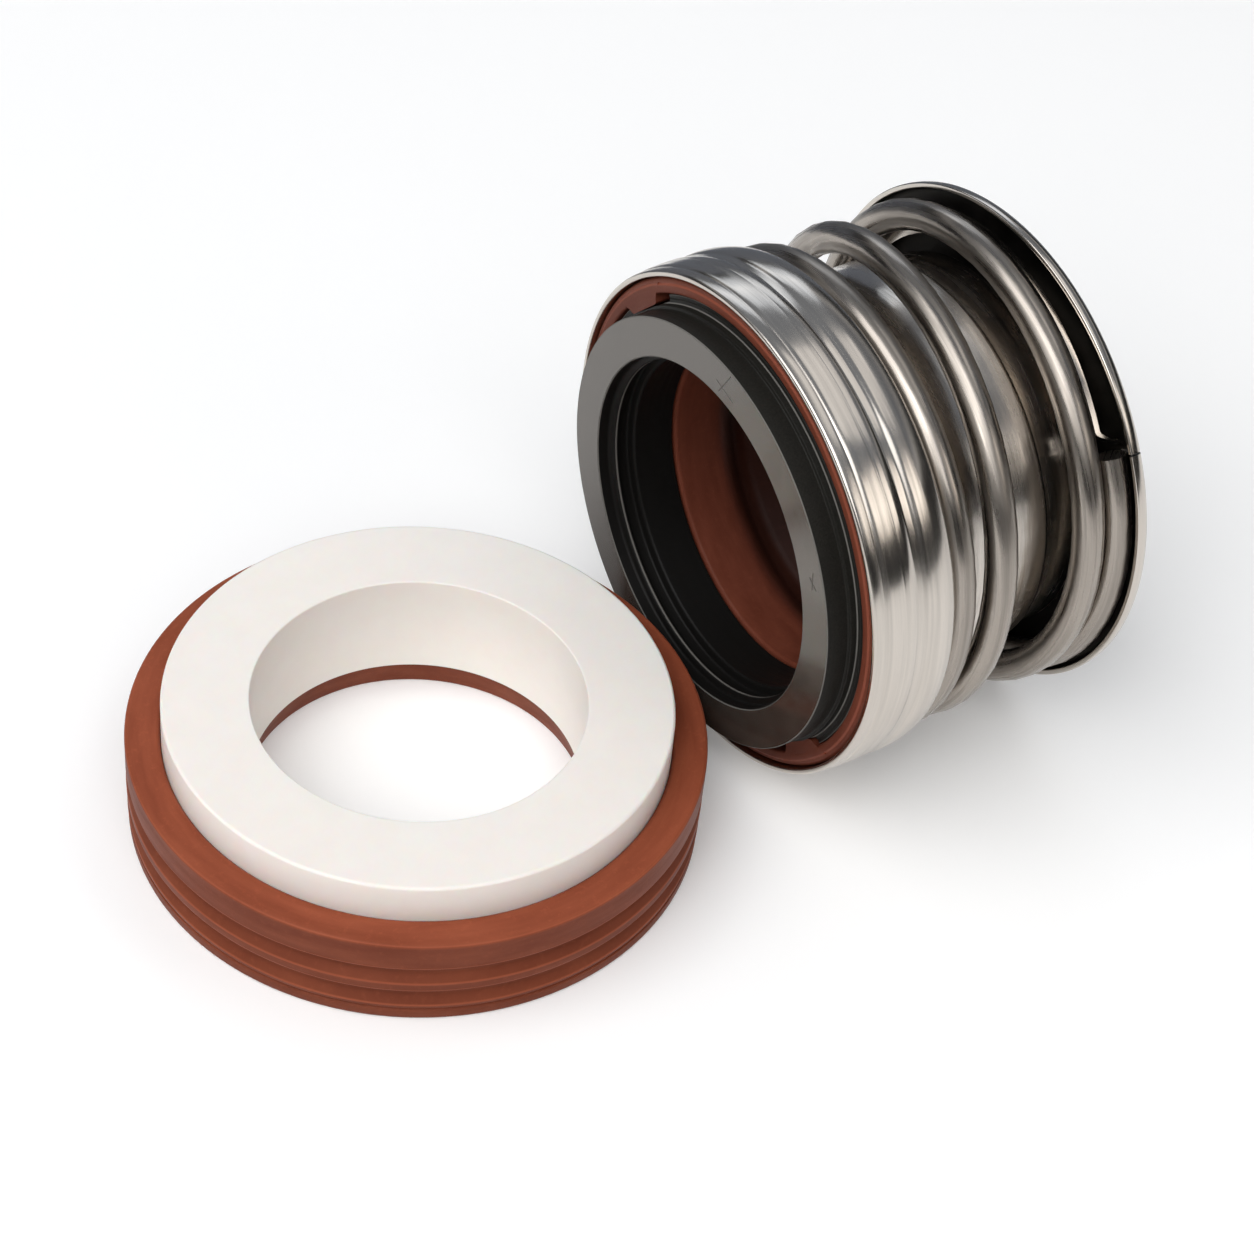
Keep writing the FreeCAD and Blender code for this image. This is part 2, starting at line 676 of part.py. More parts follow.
# Coil spring of round wire, with close end turns and one steep free turn
def make_spring():
    climb = coil_climb()
    rear = size(take(HOLDER_FRONT, "wire_radius", "spring_fit"))
    whole_turns = climb[-1][0]
    count = round(whole_turns * POINTS_PER_TURN)
    points = []
    for number in range(count + 1):
        turn = number * whole_turns / count
        points.append(round_point(size(COIL_RADIUS), turn, rear - height_at(climb, turn)))
    curve = Part.BSplineCurve()
    curve.interpolate(points)
    start = curve.tangent(curve.FirstParameter)[0]
    section = Part.Wire([Part.Circle(points[0], start, size("wire_radius")).toShape()])
    pipe = Part.BRepOffsetAPI.MakePipeShell(Part.Wire([curve.toShape()]))
    pipe.setFrenetMode(True)
    pipe.add(section)
    pipe.build()
    pipe.makeSolid()
    spring = doc.addObject("Part::Feature", "spring")
    spring.Label = "spring"
    spring.Shape = pipe.shape()
    set_in_head(spring)
    return spring


def check_and_export(parts):
    """Stop if any object failed, then write one STEP file for each part."""
    doc.recompute()
    for item in doc.Objects:
        if "Invalid" in item.State or "Error" in item.State:
            raise RuntimeError("%s failed: %s" % (item.Label, item.State))
    for part in parts:
        shape = part.Shape
        if shape.isNull() or not shape.isValid() or not shape.Solids:
            raise RuntimeError("%s has no valid solid" % part.Label)
        print(part.Label, "solids", len(shape.Solids), "volume", round(shape.Volume, 2))
    os.makedirs("parts", exist_ok=True)
    for part in parts:
        part.Shape.exportStep("parts/%s.step" % part.Label)


fill_sheet()
check_and_export([
    make_seat_ring(),
    make_seat_cup(),
    make_seal_face(),
    make_bellows(),
    make_retainer(),
    make_drive_band(),
    make_spring_holder(),
    make_spring(),
])
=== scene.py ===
# Looks of a pump seal. Its seat is a ceramic ring in a ribbed rubber cup. Its head has a carbon face, rubber
# bellows, a stamped steel retainer, a coil spring, a drive band and a spring holder.
# Blender works in metres. Sizes are written in millimetres, and MM turns them into metres.
import math

import bmesh
import bpy
from mathutils import Matrix, Vector


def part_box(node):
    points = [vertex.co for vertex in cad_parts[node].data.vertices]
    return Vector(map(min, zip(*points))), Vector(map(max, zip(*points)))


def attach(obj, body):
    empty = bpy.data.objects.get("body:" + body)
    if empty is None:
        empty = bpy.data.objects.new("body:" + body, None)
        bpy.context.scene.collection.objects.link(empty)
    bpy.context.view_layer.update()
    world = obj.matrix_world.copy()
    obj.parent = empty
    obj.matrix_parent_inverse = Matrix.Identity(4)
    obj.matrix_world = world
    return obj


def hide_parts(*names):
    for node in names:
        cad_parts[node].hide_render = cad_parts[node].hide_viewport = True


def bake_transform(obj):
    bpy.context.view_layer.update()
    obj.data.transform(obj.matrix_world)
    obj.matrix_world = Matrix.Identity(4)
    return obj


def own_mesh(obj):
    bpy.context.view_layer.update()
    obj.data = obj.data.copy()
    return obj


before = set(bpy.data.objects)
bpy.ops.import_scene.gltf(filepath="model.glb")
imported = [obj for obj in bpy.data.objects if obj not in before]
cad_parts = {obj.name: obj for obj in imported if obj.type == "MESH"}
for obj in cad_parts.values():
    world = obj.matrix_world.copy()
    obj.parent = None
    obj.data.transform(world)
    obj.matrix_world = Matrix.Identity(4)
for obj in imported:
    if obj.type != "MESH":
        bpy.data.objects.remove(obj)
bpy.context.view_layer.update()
MM = 0.001

# Places, the face's centre taken from the CAD parts
face_low, face_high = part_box("seal_face")
FACE_CENTRE = Vector((face_low.x, (face_low.y + face_high.y) / 2, (face_low.z + face_high.z) / 2))
SEAT_CENTRE = Vector((0, 0, 0))
SEAT_AXIS = Vector((0, 0, 1))
HEAD_AXIS = Vector((1, 0, 0))
# A part of the head is drawn upright, then this turn lays its axis along +X: X goes to Y, and Y to Z.
HEAD_PLACE = Matrix.Translation(FACE_CENTRE) @ Matrix.Rotation(math.radians(120), 4, Vector((1, 1, 1)))
SEAT_PLACE = Matrix.Identity(4)

# How finely the pieces are made
TURN_STEPS = 224
FINE_TURN_STEPS = 420
ROUND_SEGMENTS = 4
SHARP_ANGLE = math.radians(38)
MERGE_DISTANCE = 0.0005
FLAT_FACE_WEIGHT = 80

# Outlines to be turned round an axis: radius, distance along the axis, and how far a rounded corner reaches
# back along its two sides. The seat's distances are heights over the floor.
RING_OUTLINE = [
    (13.25, 2.3, 0.1),
    (20.15, 2.3, 0.1),
    (20.15, 11.7, 0.26),
    (13.25, 11.7, 0.14),
]
CUP_OUTLINE = [
    (13.77, 0.0, 0.25),
    (22.85, 0.0, 0.3),
    (22.87, 1.0, 0.05),
    (22.72, 1.06, 0.04),
    (22.72, 1.22, 0.04),
    (22.87, 1.3, 0.05),
    (22.92, 1.64, 0.07),
    (22.36, 2.45, 0.12),
    (22.4, 2.86, 0.1),
    (22.95, 3.36, 0.08),
    (22.97, 4.14, 0.07),
    (22.38, 4.95, 0.12),
    (22.42, 5.36, 0.1),
    (22.98, 5.86, 0.08),
    (23.0, 8.44, 0.26),
    (20.45, 8.42, 0.1),
    (20.2, 8.2, 0.08),
    (20.16, 2.3, 0.0),
    (13.37, 2.3, 0.1),
]

# The head's distances count back from the lapped carbon face.
CARBON_OUTLINE = [
    (14.62, 0.0, 0.1),
    (17.93, 0.0, 0.08),
    (17.93, 1.95, 0.1),
    (18.2, 2.0, 0.06),
    (18.2, 2.6, 0.1),
    (18.55, 2.64, 0.05),
    (18.57, 2.72, 0.02),
    (18.9, 2.72, 0.1),
    (18.9, 6.75, 0.2),
    (13.75, 6.75, 0.2),
    (13.75, 2.95, 0.25),
    (14.6, 2.85, 0.2),
    (14.6, 1.75, 0.2),
    (14.07, 1.6, 0.1),
    (14.07, 1.25, 0.1),
    (14.62, 1.05, 0.2),
]
BELLOWS_OUTLINE = [
    (19.02, 2.4, 0.2),
    (19.75, 2.4, 0.1),
    (19.85, 2.52, 0.08),
    (20.1, 2.52, 0.12),
    (20.35, 2.8, 0.2),
    (20.35, 9.65, 0.2),
    (14.8, 9.65, 0.4),
    (14.8, 11.1, 0.5),
    (15.95, 12.4, 0.7),
    (15.95, 14.8, 0.7),
    (13.8, 16.1, 0.4),
    (13.8, 17.2, 0.1),
    (15.25, 17.2, 0.3),
    (15.25, 26.25, 0.3),
    (13.8, 26.25, 0.1),
    (13.8, 28.1, 0.2),
    (12.5, 28.1, 0.3),
    (12.5, 15.45, 0.5),
    (14.65, 13.6, 1.0),
    (13.5, 11.5, 0.5),
    (13.5, 6.85, 0.3),
    (19.0, 6.85, 0.2),
]
RETAINER_OUTLINE = [
    (20.45, 2.24, 0.12),
    (20.9, 2.24, 0.2),
    (20.98, 2.66, 0.16),
    (21.0, 3.14, 0.16),
    (20.97, 3.3, 0.08),
    (21.07, 3.52, 0.2),
    (21.14, 4.98, 0.4),
    (21.115, 5.12, 0.06),
    (21.14, 5.28, 0.3),
    (21.12, 5.92, 0.3),
    (20.95, 6.24, 0.16),
    (20.96, 6.94, 0.16),
    (21.1, 7.26, 0.22),
    (21.15, 7.9, 0.4),
    (21.1, 8.6, 0.25),
    (20.95, 9.3, 0.3),
    (20.65, 9.95, 0.3),
    (20.0, 10.2, 0.35),
    (16.5, 10.2, 0.35),
    (16.5, 22.0, 0.25),
    (16.3, 22.2, 0.08),
    (16.05, 22.2, 0.08),
    (16.05, 9.75, 0.3),
    (20.45, 9.75, 0.4),
]
BAND_OUTLINE = [
    (15.35, 17.6, 0.1),
    (15.8, 17.6, 0.15),
    (15.8, 26.8, 0.75),
    (13.9, 26.8, 0.15),
    (13.9, 26.35, 0.1),
    (15.35, 26.35, 0.3),
]
HOLDER_OUTLINE = [
    (12.9, 28.2, 0.12),
    (20.7, 28.2, 0.45),
    (20.7, 27.35, 0.1),
    (21.15, 27.35, 0.12),
    (21.15, 28.65, 0.9),
    (12.9, 28.65, 0.12),
]

# Drive notches of the carbon, in degrees from +Y towards +Z, and how far a cutter reaches past what it cuts
NOTCH_ANGLES = (45.4, 225.4)
NOTCH_FLOOR = 18.05
NOTCH_HALF_WIDTH = 3.4
CARBON_LENGTH = 6.75
CUTTER_REACH = 4.0

# Lugs of the bellows: how far each is turned from its notch's middle, and its outline of radius, distance
# to the side and rounding
LUG_LEAN = 2.3
LUG_OUTLINE = [
    (18.15, -2.15, 0.3),
    (18.6, -2.35, 0.3),
    (19.3, -3.3, 0.5),
    (19.6, -3.6, 0.0),
    (19.6, 3.6, 0.0),
    (19.3, 3.3, 0.5),
    (18.6, 2.35, 0.3),
    (18.15, 2.15, 0.3),
]
LUG_FRONT = 2.4
LUG_LENGTH = 4.7

# The spring's wire, and how its coil climbs from the rear end: turns, then distance from the carbon face
WIRE_RADIUS = 1.3
COIL_RADIUS = 19.03
WIRE_END_ANGLE = 148.0
COIL_PLACES = [
    (0.0, 26.84),
    (0.5, 26.37),
    (0.84, 25.2),
    (1.0, 24.24),
    (1.34, 23.25),
    (1.59, 21.0),
    (1.84, 17.5),
    (2.09, 15.38),
    (2.34, 14.91),
    (2.59, 13.38),
    (2.84, 11.79),
    (3.0, 11.57),
    (3.34, 11.56),
]
COIL_POINTS_PER_TURN = 48
WIRE_BEVEL_RESOLUTION = 6
WIRE_END_BEVEL = 0.22
WIRE_END_SEGMENTS = 3

# The slit of the spring holder, and the ramp of its sheet under the rear end turn, which drops back at a
# shoulder in front of the wire's end
SLIT_WIDTH = 0.2
SLIT_INNER = 18.75
SLIT_SPAN = (20, 40)
RAMP_RADII = (17.08, 19.45)
RAMP_FOOT = 28.14
RAMP_START_TURN = 0.3
RAMP_CREST_TURN = 0.982
RAMP_END_TURN = 0.997
RAMP_STEPS = 60
SHOULDER_STEPS = 8
SHEET = 0.45
SPRING_FIT = 0.06

# Where a second finish begins and ends: the lapped front of the carbon, the barrel of the retainer, and the
# gap between the spring holder's disc and its rim, where painted shade darkens the steel
LAPPED_DEPTH = 0.05
LAPPED_FACING = 0.999
BARREL_START = 10.25
GAP_START = 27.5
GAP_END = 28.23
RIM_INSIDE = 20.75

# An edge lightened for wear and as a painted highlight is fully lightened over this share of its reach, and
# fades over the rest
WEAR_AND_HIGHLIGHT_CORE = 0.4

# Ceramic and rubber, with colours in linear light. A crest is a corner, by radius and distance along the
# axis, that is lightened for wear and as a painted highlight. Rubber has its written colour at the first
# distance of shaded, and shade times that at the second: painted shade on the cup's sides and deep in the
# bellows' throat.
CERAMIC_DARK = (0.915, 0.855, 0.797)
CERAMIC_LIGHT = (0.935, 0.877, 0.822)
CUP_RUBBER = {
    "dark": (0.235, 0.056, 0.026),
    "light": (0.31, 0.08, 0.038),
    "crests": [(22.92, 1.64), (22.95, 3.36), (22.97, 4.14), (22.98, 5.86), (23.0, 8.44)],
    "shaded": (8.35, 8.1),
    "shade": 0.7,
}
BELLOWS_RUBBER = {
    "dark": (0.125, 0.032, 0.017),
    "light": (0.17, 0.046, 0.026),
    "crests": [(19.8, 2.45), (20.35, 2.7)],
    "shaded": (10.5, 12.5),
    "shade": 0.2,
}
DUST_FACTOR = 1.25
# Rubber crests are lightened for wear and as painted highlights: by this factor on the light colour, within
# this reach, at this share
WEAR_AND_HIGHLIGHT_RUBBER_FACTOR = 1.7
RUBBER_WEAR_AND_HIGHLIGHT_REACH = 0.14
RUBBER_WEAR_AND_HIGHLIGHT_SHARE = 0.6

# Carbon: its colours, its corners lightened for wear and as painted highlights, by radius and distance along
# the axis, and where the bore's painted shade begins
CARBON_DARK = (0.0095, 0.009, 0.0075)
CARBON_LIGHT = (0.017, 0.016, 0.0135)
CARBON_BORE_SHADE = (0.006, 0.0055, 0.005)
CARBON_WEAR_AND_HIGHLIGHT = (0.15, 0.142, 0.13)
CARBON_EDGES = [(17.93, 0.0), (18.2, 2.6), (18.9, 2.72), (14.62, 0.0), (14.07, 1.42)]
CARBON_WEAR_AND_HIGHLIGHT_REACH = 0.11
BORE_EDGE = 14.66
BORE_FADE = 0.2

# The lapped face: its colours, and the two ends of each scratch from its centre, along +Y and +Z
LAPPED_DARK = (0.034, 0.029, 0.024)
LAPPED_LIGHT = (0.05, 0.044, 0.037)
LAPPED_TINT = (1.0, 0.93, 0.85, 1)
SCRATCH_COLOUR = (0.018, 0.017, 0.015)
SCRATCHES = [
    ((-0.28, 16.02), (-2.57, 15.47)),
    ((-1.94, 17.54), (-0.68, 15.25)),
    ((-14.51, 7.31), (-15.43, 6.74)),
    ((-14.79, 7.94), (-14.95, 6.45)),
]
SCRATCH_WIDTH = 0.07
SCRATCH_ROUGHNESS = 0.5

# Steel: its colours, the factors that darken its marks, streaks and pits, the shares of streakiness that
# roughen it and of waviness that ripple it, and each piece's roughness, streakiness and waviness
STEEL = (0.64, 0.59, 0.535)
WIRE_STEEL = (0.39, 0.35, 0.31)
# Painted shade: the colours of the holder's steel in the gap between its disc and its rim
GAP_SHADE_DARK = (0.02, 0.018, 0.016)
GAP_SHADE_LIGHT = (0.04, 0.036, 0.032)
MARK_FACTOR = 0.92
STREAK_FACTOR = 0.4
PIT_FACTOR = 0.3
STREAK_ROUGHNESS = 0.5
RIPPLE_SHARE = 0.3
SHELL_FINISH = (0.13, 0.18, 0.012)
BARREL_FINISH = (0.16, 0.2, 0.04)
BAND_FINISH = (0.16, 0.2, 0.04)
HOLDER_FINISH = (0.12, 0.12, 0.01)
SPRING_FINISH = (0.2, 0.35, 0.008)

# Most values of a noise texture lie in this span
NOISE_LOW = 0.3
NOISE_HIGH = 0.7
NOISE_ROUGHNESS = 0.55

# Floor, dark screens all round and a dark card behind the head, in metres and degrees, and their roughness
FLOOR_SIZE = 6.0
FLOOR_COLOUR = (0.925, 0.918, 0.908, 1)
FLOOR_GLOW = 0.135
MATT = 0.9
SCREEN_DISTANCE = 1.4
SCREEN_HEIGHT = 0.65
SCREEN_SIDES = 64
SCREEN_COLOUR = (0.035, 0.035, 0.035, 1)
CARD_PLACE = (0.09, 0.085, 0.03)
CARD_WIDTH = 0.32
CARD_HEIGHT = 0.06
CARD_AZIMUTH = 59
CARD_COLOUR = (0.13, 0.145, 0.175, 1)

# Softboxes: name, azimuth, elevation, distance, width, height, brightness and colour, in metres and degrees
SOFTBOXES = [
    ("key_softbox", 185, 56, 0.9, 1.0, 0.8, 2.3, (1, 1, 1)),
    ("front_softbox", -125, 50, 1.0, 0.9, 0.7, 1.8, (1, 1, 1)),
    ("top_softbox", -8, 62, 0.7, 0.5, 0.24, 0.8, (1, 0.97, 0.93)),
    ("strip_softbox", 60, 30, 0.9, 0.45, 0.36, 1.0, (0.82, 0.9, 1)),
    ("warm_softbox", -57, 31, 0.7, 0.24, 0.27, 1.5, (1, 0.94, 0.87)),
]

# The room's brightness by the sine of the height over the horizon
SKY = [
    (0.0, (1.0, 1.0, 1.0)),
    (0.22, (0.8, 0.8, 0.8)),
    (0.42, (0.5, 0.5, 0.5)),
    (0.58, (0.15, 0.16, 0.18)),
    (0.8, (0.23, 0.25, 0.28)),
]

# Camera, measured on the photo
CAMERA_PLACE = Vector((-98.88, -161.0, 199.38)) * MM
CAMERA_FORWARD = Vector((0.4303, 0.5860, -0.6866)).normalized()
CAMERA_ROLL = math.radians(5.956)
CAMERA_LENS = 97.41
SENSOR_WIDTH = 36.0
NEAREST_SEEN = 0.01
FURTHEST_SEEN = 20


# Mesh tools
def add_object(name, data):
    """Put a new object with the given data in the scene, at the origin."""
    thing = bpy.data.objects.new(name, data)
    bpy.context.scene.collection.objects.link(thing)
    return thing


def soften(mesh):
    """Shade a mesh smooth, apart from its sharp edges."""
    mesh.polygons.foreach_set("use_smooth", [True] * len(mesh.polygons))
    mesh.set_sharp_from_angle(angle=SHARP_ANGLE)


def finish_mesh(name, bm, place):
    """Turn a bmesh into an object at the origin, with its place in its mesh."""
    bmesh.ops.transform(bm, matrix=place @ Matrix.Scale(MM, 4), verts=bm.verts)
    mesh = bpy.data.meshes.new(name)
    bm.to_mesh(mesh)
    bm.free()
    soften(mesh)
    return add_object(name, mesh)


def weigh_normals(piece):
    """Keep flat faces flat in the shading, beside their rounded corners."""
    weighted = piece.modifiers.new("FlatFaces", "WEIGHTED_NORMAL")
    weighted.keep_sharp = True
    weighted.weight = FLAT_FACE_WEIGHT


def rotate(bm, degrees, axis="Z"):
    """Turn a whole bmesh about an axis through the origin."""
    turn = Matrix.Rotation(math.radians(degrees), 3, axis)
    bmesh.ops.rotate(bm, cent=(0, 0, 0), matrix=turn, verts=bm.verts)


def new_verts(extruded):
    """The vertices that an extrusion has made."""
    return [item for item in extruded["geom"] if isinstance(item, bmesh.types.BMVert)]


def rounded_face(bm, corners):
    """A face from corners, each a point and how far its rounding reaches."""
    rounded = [(bm.verts.new(point), reach) for point, reach in corners]
    bm.faces.new([vert for vert, reach in rounded])
    for vert, reach in rounded:
        if reach:
            bmesh.ops.bevel(bm, geom=[vert], offset=reach, offset_type="OFFSET", segments=ROUND_SEGMENTS,
                            profile=0.5, affect="VERTICES", material=-1)


def turned(name, outline, place, steps=TURN_STEPS):
    """Turn a rounded outline once round its axis into a closed ring."""
    bm = bmesh.new()
    rounded_face(bm, [((radius, 0, along), reach) for radius, along, reach in outline])
    bmesh.ops.delete(bm, geom=bm.faces[:], context="FACES_ONLY")
    bmesh.ops.spin(bm, geom=bm.verts[:] + bm.edges[:], cent=(0, 0, 0), axis=(0, 0, 1), angle=math.tau,
                   steps=steps, use_merge=True)
    bmesh.ops.remove_doubles(bm, verts=bm.verts, dist=MERGE_DISTANCE)
    bmesh.ops.recalc_face_normals(bm, faces=bm.faces)
    return finish_mesh(name, bm, place)


def block(name, across, half_width, along, place, angle):
    """A plain block from a span of across, a half width and a span of along, turned about the axis."""
    bm = bmesh.new()
    bmesh.ops.create_cube(bm, size=1)
    size = Vector((across[1] - across[0], 2 * half_width, along[1] - along[0]))
    centre = Vector(((across[0] + across[1]) / 2, 0, (along[0] + along[1]) / 2))
    bmesh.ops.scale(bm, vec=size, verts=bm.verts)
    bmesh.ops.translate(bm, vec=centre, verts=bm.verts)
    rotate(bm, angle)
    return finish_mesh(name, bm, place)


def made_mesh(thing):
    """The mesh of an object with its modifiers applied, or of a curve with its bevel."""
    bpy.context.view_layer.update()
    return bpy.data.meshes.new_from_object(thing.evaluated_get(bpy.context.evaluated_depsgraph_get()))


def use_solid(piece, other, operation):
    """Cut another solid from a piece or join it on, then remove the other."""
    change = piece.modifiers.new("Change", "BOOLEAN")
    change.object = other
    change.operation = operation
    change.solver = "EXACT"
    result = made_mesh(piece)
    piece.modifiers.remove(change)
    piece.data = result
    bpy.data.objects.remove(other)
    soften(result)


# Node tools
def new_material(name):
    """A material and its node tree, with a Principled shader in it."""
    material = bpy.data.materials.new(name)
    material.use_nodes = True
    return material, material.node_tree


def shader_input(tree, name):
    """An input of the tree's Principled shader."""
    return tree.nodes["Principled BSDF"].inputs[name]


def feed(tree, socket, value):
    """Link a socket to a socket, or set it to a plain value."""
    if isinstance(value, bpy.types.NodeSocket):
        tree.links.new(value, socket)
    else:
        socket.default_value = value


def feed_shader(tree, colour, roughness, normal=None):
    """Link the shader's colour, roughness and normal to the sockets that make them."""
    tree.links.new(colour, shader_input(tree, "Base Color"))
    tree.links.new(roughness, shader_input(tree, "Roughness"))
    if normal is not None:
        tree.links.new(normal, shader_input(tree, "Normal"))


def set_shader(tree, values):
    """Set the shader's own sockets to plain values."""
    for name, value in values.items():
        shader_input(tree, name).default_value = value


def maths(tree, operation, first, second):
    """The result of a Math node fed by sockets or plain values."""
    node = tree.nodes.new("ShaderNodeMath")
    node.operation = operation
    feed(tree, node.inputs[0], first)
    feed(tree, node.inputs[1], second)
    return node.outputs[0]


def vector_maths(tree, operation, first, second=None, scale=None):
    """The vector or the number that a Vector Math node makes from sockets or plain values."""
    node = tree.nodes.new("ShaderNodeVectorMath")
    node.operation = operation
    for socket, value in ((node.inputs[0], first), (node.inputs[1], second), (node.inputs[3], scale)):
        if value is not None:
            feed(tree, socket, value)
    measured = operation in ("LENGTH", "DISTANCE", "DOT_PRODUCT")
    return node.outputs["Value" if measured else "Vector"]


def object_place(tree):
    """The place on a piece, in metres."""
    return tree.nodes.new("ShaderNodeTexCoord").outputs["Object"]


def object_vector(tree, per_mm):
    """The place on a piece, in so many units for each millimetre."""
    return vector_maths(tree, "SCALE", object_place(tree), scale=per_mm / MM)


def lathe_parts(tree, centre, axis):
    """The offset from an axis as a vector, and the distance along it from a centre, in metres."""
    shifted = vector_maths(tree, "SUBTRACT", object_place(tree), centre)
    offset = vector_maths(tree, "MULTIPLY", shifted, Vector((1, 1, 1)) - axis)
    return offset, vector_maths(tree, "DOT_PRODUCT", shifted, axis)


def lathe_vector(tree, centre, axis, around, across):
    """Coordinates that change slowly round an axis and quickly across the turning marks."""
    offset, along = lathe_parts(tree, centre, axis)
    direction = vector_maths(tree, "NORMALIZE", offset)
    turn = vector_maths(tree, "SCALE", direction, scale=around)
    radius = vector_maths(tree, "LENGTH", offset)
    place = maths(tree, "MULTIPLY", maths(tree, "ADD", radius, along), across / MM)
    height = vector_maths(tree, "SCALE", axis, scale=place)
    return vector_maths(tree, "ADD", turn, height)


def lathe_place(tree, centre, axis):
    """The distances from an axis and along it, in millimetres, as a vector's X and Y."""
    offset, along = lathe_parts(tree, centre, axis)
    join = tree.nodes.new("ShaderNodeCombineXYZ")
    tree.links.new(vector_maths(tree, "LENGTH", offset), join.inputs["X"])
    tree.links.new(along, join.inputs["Y"])
    return vector_maths(tree, "SCALE", join.outputs[0], scale=1 / MM)


def noise(tree, vector, detail):
    """The value of a noise texture of scale one on a vector."""
    texture = tree.nodes.new("ShaderNodeTexNoise")
    texture.inputs["Scale"].default_value = 1
    texture.inputs["Detail"].default_value = detail
    texture.inputs["Roughness"].default_value = NOISE_ROUGHNESS
    tree.links.new(vector, texture.inputs["Vector"])
    return texture.outputs["Fac"]


def remap(tree, value, low, high, start=NOISE_LOW, end=NOISE_HIGH):
    """Map a value from a span, start to end, to low and high, held at its ends."""
    ranged = tree.nodes.new("ShaderNodeMapRange")
    ranged.inputs["From Min"].default_value = start
    ranged.inputs["From Max"].default_value = end
    ranged.inputs["To Min"].default_value = low
    ranged.inputs["To Max"].default_value = high
    tree.links.new(value, ranged.inputs["Value"])
    return ranged.outputs["Result"]


def scaled_colour(colour, factor):
    """A colour times a factor."""
    return tuple(factor * part for part in colour)


def blend_colours(tree, share, first, second):
    """Mix two colours by a socket's value."""
    mix = tree.nodes.new("ShaderNodeMix")
    mix.data_type = "RGBA"
    tree.links.new(share, mix.inputs["Factor"])
    for socket, value in ((mix.inputs[6], first), (mix.inputs[7], second)):
        feed(tree, socket, value if isinstance(value, bpy.types.NodeSocket) else (*value, 1))
    return mix.outputs[2]


def bump(tree, height, depth, normal=None):
    """A bump from a height socket, with its depth in millimetres."""
    node = tree.nodes.new("ShaderNodeBump")
    node.inputs["Distance"].default_value = depth * MM
    tree.links.new(height, node.inputs["Height"])
    if normal is not None:
        tree.links.new(normal, node.inputs["Normal"])
    return node.outputs["Normal"]


def wear_and_highlight_edges(tree, centre, axis, corners, reach):
    """One at turned corners, given by radius and distance along the axis, and zero beyond a reach: where
    edges are lightened for wear and as painted highlights.
    """
    place = lathe_place(tree, centre, axis)
    nearest = None
    for radius, along in corners:
        distance = vector_maths(tree, "DISTANCE", place, (radius, along, 0))
        nearest = distance if nearest is None else maths(tree, "MINIMUM", nearest, distance)
    return remap(tree, nearest, 1, 0, start=WEAR_AND_HIGHLIGHT_CORE * reach, end=reach)


def scratch(tree, start, end):
    """One on a short straight scratch across the carbon face, and zero beside it."""
    first = Vector((0, *start)) * MM
    run = Vector((0, end[0] - start[0], end[1] - start[1])) * MM
    centred = vector_maths(tree, "SUBTRACT", object_place(tree), FACE_CENTRE)
    shifted = vector_maths(tree, "SUBTRACT", centred, first)
    along = vector_maths(tree, "DOT_PRODUCT", shifted, run / run.length_squared)
    held = maths(tree, "MINIMUM", maths(tree, "MAXIMUM", along, 0.0), 1.0)
    nearest = vector_maths(tree, "SCALE", run, scale=held)
    distance = vector_maths(tree, "DISTANCE", shifted, nearest)
    return remap(tree, distance, 1, 0, start=0, end=SCRATCH_WIDTH * MM)


# Materials
def white_ceramic():
    """White sintered ceramic: a faint mottle and a satin skin."""
    material, tree = new_material("white_ceramic")
    mottle = noise(tree, object_vector(tree, per_mm=0.35), detail=5)
    grain = noise(tree, object_vector(tree, per_mm=6.0), detail=2)
    colour = blend_colours(tree, remap(tree, mottle, 0, 1), CERAMIC_DARK, CERAMIC_LIGHT)
    feed_shader(tree, colour, remap(tree, grain, 0.34, 0.46), bump(tree, grain, depth=0.006))
    set_shader(tree, {
        "Specular IOR Level": 0.25,
        "Subsurface Weight": 0.25,
        "Subsurface Scale": 1.5 * MM,
    })
    return material


def moulded_rubber(name, centre, axis, dark, light, crests, shaded, shade):
    """Moulded brown-red rubber: a fine skin, faint flow streaks round the axis, crests paler for wear and as
    painted highlights, and a stretch along the axis darkened as painted shade."""
    material, tree = new_material(name)
    streaks = noise(tree, lathe_vector(tree, centre, axis, around=3.0, across=0.9), detail=4)
    speckle = noise(tree, object_vector(tree, per_mm=2.2), detail=4)
    skin = noise(tree, object_vector(tree, per_mm=9.0), detail=3)
    colour = blend_colours(tree, remap(tree, streaks, 0, 1), dark, light)
    dust = remap(tree, speckle, 0, 0.35, start=0.55, end=0.75)
    dusted = blend_colours(tree, dust, colour, scaled_colour(light, DUST_FACTOR))
    # Painted highlights and wear: crests are lightened towards a paler rubber colour
    wear_and_highlight = wear_and_highlight_edges(tree, centre, axis, crests, RUBBER_WEAR_AND_HIGHLIGHT_REACH)
    wear_and_highlight_share = maths(tree, "MULTIPLY", wear_and_highlight, RUBBER_WEAR_AND_HIGHLIGHT_SHARE)
    edged = blend_colours(tree, wear_and_highlight_share, dusted, scaled_colour(light, WEAR_AND_HIGHLIGHT_RUBBER_FACTOR))
    # Painted shade: the colour darkens by the shade factor over the shaded span along the axis, on the cup's
    # sides and deep in the bellows' throat
    along = vector_maths(tree, "DOT_PRODUCT", lathe_place(tree, centre, axis), (0, 1, 0))
    depth = remap(tree, along, 0, 1, *shaded)
    painted_shade_colour = blend_colours(tree, depth, edged, vector_maths(tree, "SCALE", edged, scale=shade))
    normal = bump(tree, streaks, depth=0.03, normal=bump(tree, skin, depth=0.01))
    feed_shader(tree, painted_shade_colour, remap(tree, streaks, 0.52, 0.42), normal)
    set_shader(tree, {"Specular IOR Level": 0.11})
    return material


